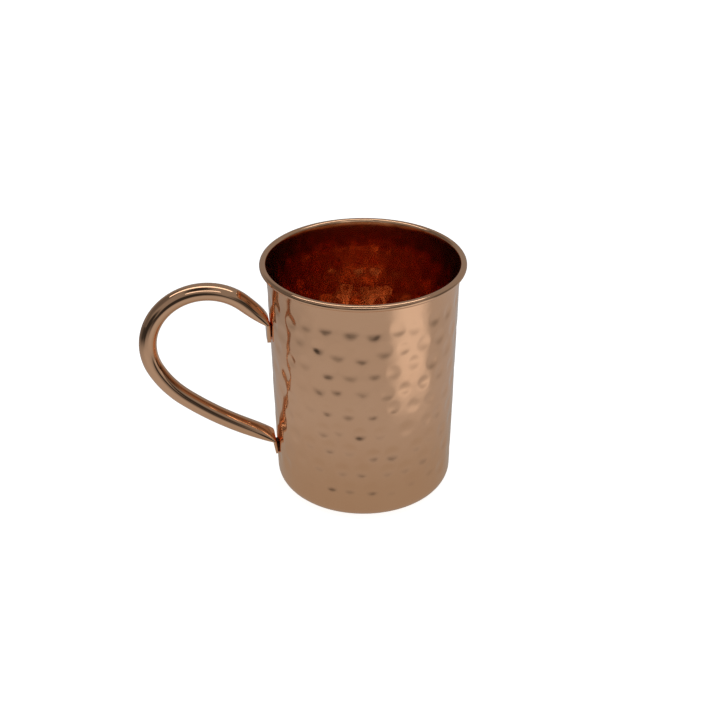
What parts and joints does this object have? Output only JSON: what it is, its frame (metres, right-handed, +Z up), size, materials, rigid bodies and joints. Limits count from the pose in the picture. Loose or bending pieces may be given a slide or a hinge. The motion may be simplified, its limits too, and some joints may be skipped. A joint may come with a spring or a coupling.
{
  "type": "copper mug",
  "caption": "Tall copper mug with a hammered wall, an outward curled rim and a bent tube handle brazed on by its flattened ends.",
  "frame": {"origin": "centre of the base on the mug's axis, in the plane it stands on", "axes": "+Z up along the mug's axis; the handle points to -X and lies in the XZ plane"},
  "size_m": [0.1376, 0.086, 0.105],
  "materials": {
    "body_copper": "solid copper, polished and clear lacquered, with shallow round hammer marks",
    "handle_copper": "solid copper tube, polished and clear lacquered, smooth",
    "braze_metal": "copper-phosphorus braze, dull and darkened by the torch"
  },
  "bodies": {
    "root": {"body_shell": "body_copper", "handle_tube": "handle_copper", "upper_braze_joint": "braze_metal", "lower_braze_joint": "braze_metal"}
  },
  "joints": []
}
